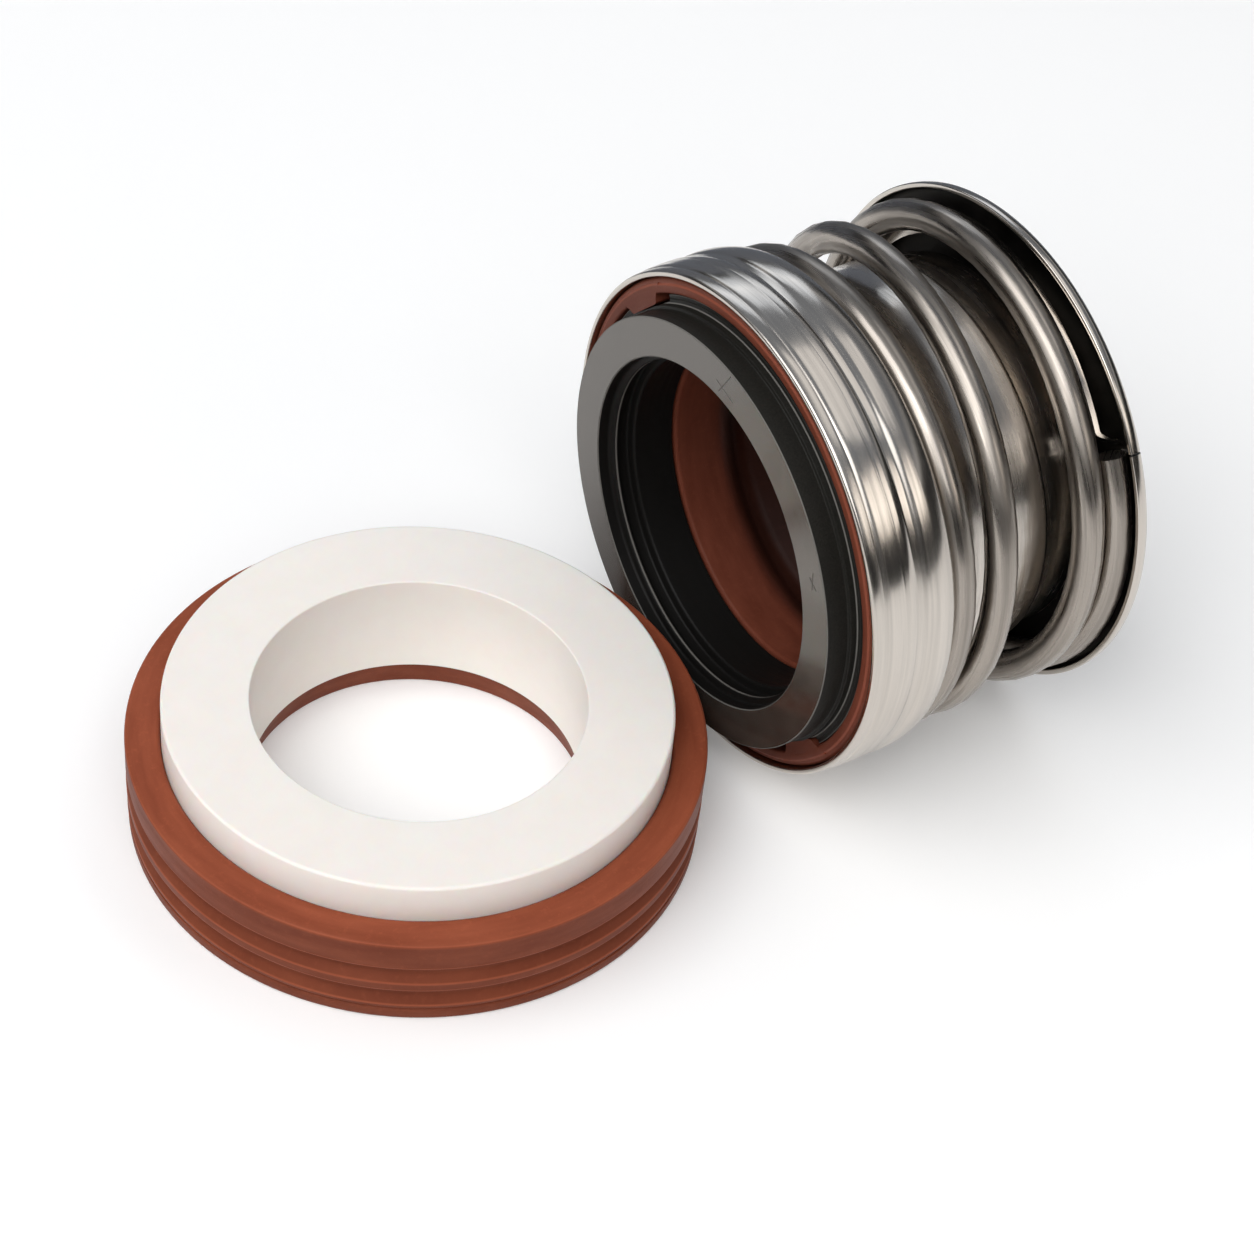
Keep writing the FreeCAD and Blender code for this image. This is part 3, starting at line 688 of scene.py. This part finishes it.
def turned_carbon():
    """Pressed carbon: near-black, with fine turning marks, grey edges lightened for wear and as painted
    highlights, and a bore blackened as painted shade.
    """
    material, tree = new_material("turned_carbon")
    marks = noise(tree, lathe_vector(tree, FACE_CENTRE, HEAD_AXIS, around=1.5, across=5.0), detail=3)
    grain = noise(tree, object_vector(tree, per_mm=7.0), detail=3)
    colour = blend_colours(tree, remap(tree, grain, 0, 1), CARBON_DARK, CARBON_LIGHT)
    # Painted shade: the carbon blackens inside the bore's edge, where shade falls in the bore
    radius = vector_maths(tree, "DOT_PRODUCT", lathe_place(tree, FACE_CENTRE, HEAD_AXIS), (1, 0, 0))
    inside = remap(tree, radius, 1, 0, start=BORE_EDGE, end=BORE_EDGE + BORE_FADE)
    bore_shaded = blend_colours(tree, inside, colour, CARBON_BORE_SHADE)
    # Painted highlights and wear: the corners are lightened to a pale grey
    wear_and_highlight = wear_and_highlight_edges(tree, FACE_CENTRE, HEAD_AXIS, CARBON_EDGES, CARBON_WEAR_AND_HIGHLIGHT_REACH)
    edged = blend_colours(tree, wear_and_highlight, bore_shaded, CARBON_WEAR_AND_HIGHLIGHT)
    normal = bump(tree, marks, depth=0.006, normal=bump(tree, grain, depth=0.008))
    feed_shader(tree, edged, remap(tree, marks, 0.42, 0.55), normal)
    set_shader(tree, {"Specular IOR Level": 0.14})
    return material


def lapped_carbon():
    """The lapped face: dark carbon polished to a grey sheen, with a few short scratches."""
    material, tree = new_material("lapped_carbon")
    cloud = noise(tree, object_vector(tree, per_mm=0.6), detail=4)
    colour = blend_colours(tree, remap(tree, cloud, 0, 1), LAPPED_DARK, LAPPED_LIGHT)
    scratched = None
    for start, end in SCRATCHES:
        mark = scratch(tree, start, end)
        scratched = mark if scratched is None else maths(tree, "MAXIMUM", scratched, mark)
    marked = blend_colours(tree, scratched, colour, SCRATCH_COLOUR)
    rubbed = maths(tree, "MULTIPLY", scratched, SCRATCH_ROUGHNESS)
    roughness = maths(tree, "ADD", remap(tree, cloud, 0.14, 0.2), rubbed)
    feed_shader(tree, marked, roughness, bump(tree, scratched, depth=-0.06))
    set_shader(tree, {"IOR": 1.9, "Specular Tint": LAPPED_TINT})
    return material


def gap_shade_steel():
    """Steel in the gap behind the spring, dull, and dark with painted shade."""
    material, tree = new_material("gap_shade_steel")
    cloud = noise(tree, object_vector(tree, per_mm=0.5), detail=4)
    colour = blend_colours(tree, remap(tree, cloud, 0, 1), GAP_SHADE_DARK, GAP_SHADE_LIGHT)
    feed_shader(tree, colour, remap(tree, cloud, 0.45, 0.6))
    set_shader(tree, {"Metallic": 1})
    return material


def head_marks(tree, around, across, detail):
    """Noise drawn out round the head's axis."""
    return noise(tree, lathe_vector(tree, FACE_CENTRE, HEAD_AXIS, around, across), detail)


def stainless_steel(name, colour, roughness, streakiness, waviness):
    """Stainless steel: fine marks and streaks round the axis, clouded polish, small pits and slight waves."""
    material, tree = new_material(name)
    marks = head_marks(tree, around=2.0, across=6.0, detail=4)
    streaks = head_marks(tree, around=1.3, across=1.9, detail=3)
    waves = head_marks(tree, around=6.0, across=0.35, detail=1)
    ripples = head_marks(tree, around=2.5, across=1.7, detail=2)
    cloud = noise(tree, object_vector(tree, per_mm=0.25), detail=4)
    pits = noise(tree, object_vector(tree, per_mm=3.5), detail=2)
    marked = blend_colours(tree, remap(tree, marks, 0, 1), scaled_colour(colour, MARK_FACTOR), colour)
    streak_share = remap(tree, streaks, streakiness, 0, start=0.36, end=0.62)
    streaked = blend_colours(tree, streak_share, marked, scaled_colour(colour, STREAK_FACTOR))
    pit_share = remap(tree, pits, 0, 0.3, start=0.72, end=0.78)
    pitted = blend_colours(tree, pit_share, streaked, scaled_colour(colour, PIT_FACTOR))
    dullest = roughness + STREAK_ROUGHNESS * streakiness
    brushed = remap(tree, streaks, dullest, roughness, start=0.36, end=0.6)
    clouded = maths(tree, "ADD", brushed, remap(tree, cloud, 0, 0.06))
    fine = bump(tree, marks, depth=0.0008)
    rippled = bump(tree, ripples, depth=RIPPLE_SHARE * waviness, normal=fine)
    feed_shader(tree, pitted, clouded, bump(tree, waves, depth=waviness, normal=rippled))
    set_shader(tree, {"Metallic": 1})
    return material


# Pieces, dressed and set in place of the CAD solids
def dress(piece, node, slot, *materials):
    """Give a piece its materials, in place of a CAD node, which it hides. The slot is not used."""
    for material in materials:
        piece.data.materials.append(material)
    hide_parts(node)


def give_second(piece, chosen):
    """Give the faces that a test chooses the piece's second material."""
    for polygon in piece.data.polygons:
        if chosen(polygon):
            polygon.material_index = 1


def make_ring():
    ring = turned("ceramic_ring", RING_OUTLINE, SEAT_PLACE)
    weigh_normals(ring)
    dress(ring, "seat_ring", "ceramic", white_ceramic())
    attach(ring, "seal_base")


def make_cup():
    cup = turned("rubber_cup", CUP_OUTLINE, SEAT_PLACE)
    weigh_normals(cup)
    rubber = moulded_rubber("cup_rubber", SEAT_CENTRE, SEAT_AXIS, **CUP_RUBBER)
    dress(cup, "seat_cup", "cup_rubber", rubber)
    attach(cup, "seal_base")


def is_lapped(polygon):
    """Whether a face of the carbon ring is part of its flat front."""
    return polygon.normal.x < -LAPPED_FACING and polygon.center.x < FACE_CENTRE.x + LAPPED_DEPTH * MM


def make_carbon_ring():
    """The carbon face ring, with its drive notches cut along its whole length."""
    ring = turned("carbon_face_ring", CARBON_OUTLINE, HEAD_PLACE)
    for angle in NOTCH_ANGLES:
        cutter = block("notch", (NOTCH_FLOOR, NOTCH_FLOOR + CUTTER_REACH), NOTCH_HALF_WIDTH,
                       (-CUTTER_REACH, CARBON_LENGTH + CUTTER_REACH), HEAD_PLACE, angle)
        use_solid(ring, cutter, "DIFFERENCE")
    weigh_normals(ring)
    dress(ring, "seal_face", "carbon", turned_carbon(), lapped_carbon())
    give_second(ring, is_lapped)
    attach(ring, "face_unit")


def make_lug(angle):
    """One drive lug: its outline across the axis, raised along the axis."""
    bm = bmesh.new()
    rounded_face(bm, [((radius, side, LUG_FRONT), reach) for radius, side, reach in LUG_OUTLINE])
    raised = bmesh.ops.extrude_face_region(bm, geom=bm.faces[:])
    bmesh.ops.translate(bm, vec=(0, 0, LUG_LENGTH), verts=new_verts(raised))
    bmesh.ops.recalc_face_normals(bm, faces=bm.faces)
    rotate(bm, angle)
    return finish_mesh("lug", bm, HEAD_PLACE)


def make_bellows():
    """The bellows with its two drive lugs, between the face and the shaft's grip."""
    bellows = turned("rubber_bellows", BELLOWS_OUTLINE, HEAD_PLACE)
    for angle in NOTCH_ANGLES:
        use_solid(bellows, make_lug(angle - LUG_LEAN), "UNION")
    weigh_normals(bellows)
    rubber = moulded_rubber("bellows_rubber", FACE_CENTRE, HEAD_AXIS, **BELLOWS_RUBBER)
    dress(bellows, "bellows", "bellows_rubber", rubber)
    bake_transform(bellows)


def is_barrel(polygon):
    """Whether a face of the retainer lies on its barrel, behind its shell."""
    return polygon.center.x > FACE_CENTRE.x + BARREL_START * MM


def make_retainer():
    retainer = turned("steel_retainer", RETAINER_OUTLINE, HEAD_PLACE, FINE_TURN_STEPS)
    shell_steel = stainless_steel("retainer_steel", STEEL, *SHELL_FINISH)
    barrel_steel = stainless_steel("barrel_steel", STEEL, *BARREL_FINISH)
    dress(retainer, "retainer", "retainer_steel", shell_steel, barrel_steel)
    give_second(retainer, is_barrel)
    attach(retainer, "face_unit")


def make_band():
    band = turned("steel_drive_band", BAND_OUTLINE, HEAD_PLACE)
    weigh_normals(band)
    dress(band, "drive_band", "band_steel", stainless_steel("band_steel", STEEL, *BAND_FINISH))
    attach(band, "seal_base")


def ease(part):
    """A smooth step from zero to one."""
    return part ** 2 * (3 - 2 * part)


def coil_rate(index):
    """Mean slope between a row of COIL_PLACES and the next."""
    (start, low), (end, high) = COIL_PLACES[index], COIL_PLACES[index + 1]
    return (high - low) / (end - start)


def coil_slope(index):
    """Slope at a row of COIL_PLACES, which never overshoots its neighbours."""
    if index in (0, len(COIL_PLACES) - 1):
        return 0.0
    before, after = coil_rate(index - 1), coil_rate(index)
    if max(before, after) >= 0:
        return 0.0
    return 2 * before * after / (before + after)


def place_on_coil(turn):
    """Distance from the carbon face after a number of turns, eased between the rows of COIL_PLACES."""
    index = max(row for row in range(len(COIL_PLACES) - 1) if COIL_PLACES[row][0] <= turn)
    (start, low), (end, high) = COIL_PLACES[index], COIL_PLACES[index + 1]
    width = end - start
    part = (turn - start) / width
    leave = part * (1 - part) ** 2 * width * coil_slope(index)
    arrive = part ** 2 * (part - 1) * width * coil_slope(index + 1)
    return low + ease(part) * (high - low) + leave + arrive


def ramp_places():
    """Turns round the coil, and the distance of the ramp's front from the carbon face at each."""
    places = []
    for number in range(RAMP_STEPS + 1):
        turn = RAMP_START_TURN + (RAMP_CREST_TURN - RAMP_START_TURN) * number / RAMP_STEPS
        places.append((turn, place_on_coil(turn) + WIRE_RADIUS + SPRING_FIT))
    crest = places[-1][1]
    for number in range(1, SHOULDER_STEPS + 1):
        part = number / SHOULDER_STEPS
        turn = RAMP_CREST_TURN + (RAMP_END_TURN - RAMP_CREST_TURN) * part
        places.append((turn, crest + (RAMP_FOOT - crest) * ease(part)))
    return places


def make_ramp():
    """A strip of sheet that climbs with the rear end turn and drops back to the disc at its end."""
    (turn, front), *following = ramp_places()
    inner, outer = RAMP_RADII
    corners = [(inner, 0, front), (outer, 0, front), (outer, 0, front + SHEET), (inner, 0, front + SHEET)]
    bm = bmesh.new()
    section = bm.faces.new([bm.verts.new(corner) for corner in corners])
    rotate(bm, WIRE_END_ANGLE + 360 * turn)
    for next_turn, next_front in following:
        raised = bmesh.ops.extrude_face_region(bm, geom=[section, *section.edges])
        section = next(item for item in raised["geom"] if isinstance(item, bmesh.types.BMFace))
        climb = Matrix.Translation((0, 0, next_front - front))
        step = climb @ Matrix.Rotation(math.tau * (next_turn - turn), 4, "Z")
        bmesh.ops.transform(bm, matrix=step, verts=new_verts(raised))
        turn, front = next_turn, next_front
    bmesh.ops.recalc_face_normals(bm, faces=bm.faces)
    return finish_mesh("ramp", bm, HEAD_PLACE)


def is_in_gap(polygon):
    """Whether a face of the spring holder lies in the gap between its disc and its rim."""
    behind = (polygon.center.x - FACE_CENTRE.x) / MM
    across = math.hypot(polygon.center.y - FACE_CENTRE.y, polygon.center.z - FACE_CENTRE.z) / MM
    return GAP_START < behind < GAP_END and across < RIM_INSIDE


def make_holder():
    """The spring holder's disc and rim, with the slit cut at the wire's end and the ramp joined on."""
    holder = turned("steel_spring_holder", HOLDER_OUTLINE, HEAD_PLACE)
    cutter = block("slit", (SLIT_INNER, SLIT_INNER + CUTTER_REACH), SLIT_WIDTH / 2, SLIT_SPAN, HEAD_PLACE,
                   WIRE_END_ANGLE)
    use_solid(holder, cutter, "DIFFERENCE")
    use_solid(holder, make_ramp(), "UNION")
    weigh_normals(holder)
    holder_steel = stainless_steel("holder_steel", STEEL, *HOLDER_FINISH)
    dress(holder, "spring_holder", "holder_steel", holder_steel, gap_shade_steel())
    # Painted shade: the faces in the gap get the darkened steel
    give_second(holder, is_in_gap)
    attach(holder, "seal_base")


def coil_mesh():
    """Round wire with closed ends, along a smooth line of points on the coil."""
    data = bpy.data.curves.new("coil", "CURVE")
    data.dimensions = "3D"
    data.bevel_depth = WIRE_RADIUS
    data.bevel_resolution = WIRE_BEVEL_RESOLUTION
    data.use_fill_caps = True
    whole_turns = COIL_PLACES[-1][0]
    count = round(whole_turns * COIL_POINTS_PER_TURN)
    spline = data.splines.new("POLY")
    spline.points.add(count)
    for number, point in enumerate(spline.points):
        turn = whole_turns * number / count
        angle = math.radians(WIRE_END_ANGLE) + math.tau * turn
        point.co = (COIL_RADIUS * math.cos(angle), COIL_RADIUS * math.sin(angle), place_on_coil(turn), 1)
    carrier = add_object("coil", data)
    mesh = made_mesh(carrier)
    bpy.data.objects.remove(carrier)
    return mesh


def make_spring():
    """The coil spring with bevelled wire ends."""
    bm = bmesh.new()
    bm.from_mesh(coil_mesh())
    bmesh.ops.remove_doubles(bm, verts=bm.verts, dist=MERGE_DISTANCE)
    caps = [edge for face in bm.faces if len(face.verts) > 4 for edge in face.edges]
    bmesh.ops.bevel(bm, geom=caps, offset=WIRE_END_BEVEL, offset_type="OFFSET", segments=WIRE_END_SEGMENTS,
                    profile=0.5, affect="EDGES", material=-1)
    bmesh.ops.recalc_face_normals(bm, faces=bm.faces)
    spring = finish_mesh("steel_spring", bm, HEAD_PLACE)
    dress(spring, "spring", "spring_steel", stainless_steel("spring_steel", WIRE_STEEL, *SPRING_FINISH))
    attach(spring, "seal_base")
    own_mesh(spring)


# Floor, light and camera
def seen_share(tree):
    """One for camera, glossy and transmission rays, and zero for the rest."""
    path = tree.nodes.new("ShaderNodeLightPath")
    rays = maths(tree, "MAXIMUM", path.outputs["Is Camera Ray"], path.outputs["Is Glossy Ray"])
    return maths(tree, "MAXIMUM", rays, path.outputs["Is Transmission Ray"])


def stage_piece(name, bm, material):
    """Turn a bmesh into a piece of the studio."""
    mesh = bpy.data.meshes.new(name)
    bm.to_mesh(mesh)
    bm.free()
    mesh.materials.append(material)
    piece = add_object(name, mesh)
    return piece


def matt_material(name, colour):
    """A matt surface of one colour, for a screen or a card that isn't seen by itself."""
    material, tree = new_material(name)
    set_shader(tree, {"Base Color": colour, "Roughness": MATT})
    return material


def make_floor():
    """A wide matt white floor."""
    bm = bmesh.new()
    bmesh.ops.create_grid(bm, x_segments=1, y_segments=1, size=FLOOR_SIZE / 2)
    material, tree = new_material("white_floor")
    set_shader(tree, {
        "Base Color": FLOOR_COLOUR,
        "Roughness": MATT,
        "Specular IOR Level": 0.1,
        "Emission Color": (1, 1, 1, 1),
    })
    glow = maths(tree, "MULTIPLY", seen_share(tree), FLOOR_GLOW)
    tree.links.new(glow, shader_input(tree, "Emission Strength"))
    stage_piece("floor", bm, material)


def make_screens():
    """Low dark screens all round, as photographers use to give polished metal its dark lines."""
    bm = bmesh.new()
    bmesh.ops.create_circle(bm, cap_ends=False, segments=SCREEN_SIDES, radius=SCREEN_DISTANCE)
    raised = bmesh.ops.extrude_edge_only(bm, edges=bm.edges[:])
    bmesh.ops.translate(bm, vec=(0, 0, SCREEN_HEIGHT), verts=new_verts(raised))
    screens = stage_piece("dark_screens", bm, matt_material("dark_screen", SCREEN_COLOUR))
    screens.visible_camera = False


def make_card():
    """A dark card close behind the head, seen only in the metal, to give its outer edges their dark line."""
    bm = bmesh.new()
    bmesh.ops.create_grid(bm, x_segments=1, y_segments=1, size=0.5)
    bmesh.ops.scale(bm, vec=(CARD_HEIGHT, CARD_WIDTH, 1), verts=bm.verts)
    rotate(bm, 90, "Y")
    rotate(bm, CARD_AZIMUTH)
    bmesh.ops.translate(bm, vec=CARD_PLACE, verts=bm.verts)
    card = stage_piece("dark_card", bm, matt_material("dark_card", CARD_COLOUR))
    card.visible_camera = False
    card.visible_diffuse = False
    card.visible_shadow = False


def make_softbox(name, azimuth, elevation, distance, width, height, brightness, colour):
    """A soft light that faces the part, in metres and degrees, where a brightness of one shows as white."""
    data = bpy.data.lights.new(name, "AREA")
    data.shape = "RECTANGLE"
    data.size = width
    data.size_y = height
    data.energy = brightness * math.pi * width * height
    data.color = colour
    light = add_object(name, data)
    turn, rise = math.radians(azimuth), math.radians(elevation)
    away = Vector((math.cos(rise) * math.cos(turn), math.cos(rise) * math.sin(turn), math.sin(rise)))
    facing = away.to_track_quat("Z", "Y").to_matrix().to_4x4()
    light.matrix_world = Matrix.Translation(distance * away) @ facing


def make_world():
    """A studio that is white at the horizon and darker overhead."""
    world = bpy.data.worlds.new("studio")
    bpy.context.scene.world = world
    world.use_nodes = True
    tree = world.node_tree
    background = tree.nodes["Background"]
    coordinates = tree.nodes.new("ShaderNodeTexCoord")
    height = vector_maths(tree, "DOT_PRODUCT", coordinates.outputs["Generated"], (0, 0, 1))
    ramp = tree.nodes.new("ShaderNodeValToRGB")
    ramp.color_ramp.interpolation = "EASE"
    stops = ramp.color_ramp.elements
    for number, (place, colour) in enumerate(SKY):
        stop = stops[number] if number < len(stops) else stops.new(place)
        stop.position = place
        stop.color = (*colour, 1)
    tree.links.new(height, ramp.inputs["Fac"])
    tree.links.new(ramp.outputs["Color"], background.inputs["Color"])
    background.inputs["Strength"].default_value = 1.0


def make_camera():
    """The photo's camera, turned about its line of sight by its roll."""
    data = bpy.data.cameras.new("camera")
    data.lens = CAMERA_LENS
    data.sensor_width = SENSOR_WIDTH
    data.clip_start = NEAREST_SEEN
    data.clip_end = FURTHEST_SEEN
    camera = add_object("camera", data)
    level_right = CAMERA_FORWARD.cross(Vector((0, 0, 1))).normalized()
    level_up = level_right.cross(CAMERA_FORWARD)
    right = math.cos(CAMERA_ROLL) * level_right + math.sin(CAMERA_ROLL) * level_up
    up = math.cos(CAMERA_ROLL) * level_up - math.sin(CAMERA_ROLL) * level_right
    turn = Matrix((right, up, -CAMERA_FORWARD)).transposed()
    camera.matrix_world = Matrix.Translation(CAMERA_PLACE) @ turn.to_4x4()
    bpy.context.scene.camera = camera


# Everything is made here
make_ring()
make_cup()
make_carbon_ring()
make_bellows()
make_retainer()
make_band()
make_holder()
make_spring()
make_floor()
make_screens()
make_card()
make_world()
for softbox in SOFTBOXES:
    make_softbox(*softbox)
make_camera()
bpy.context.scene.view_settings.view_transform = "Standard"
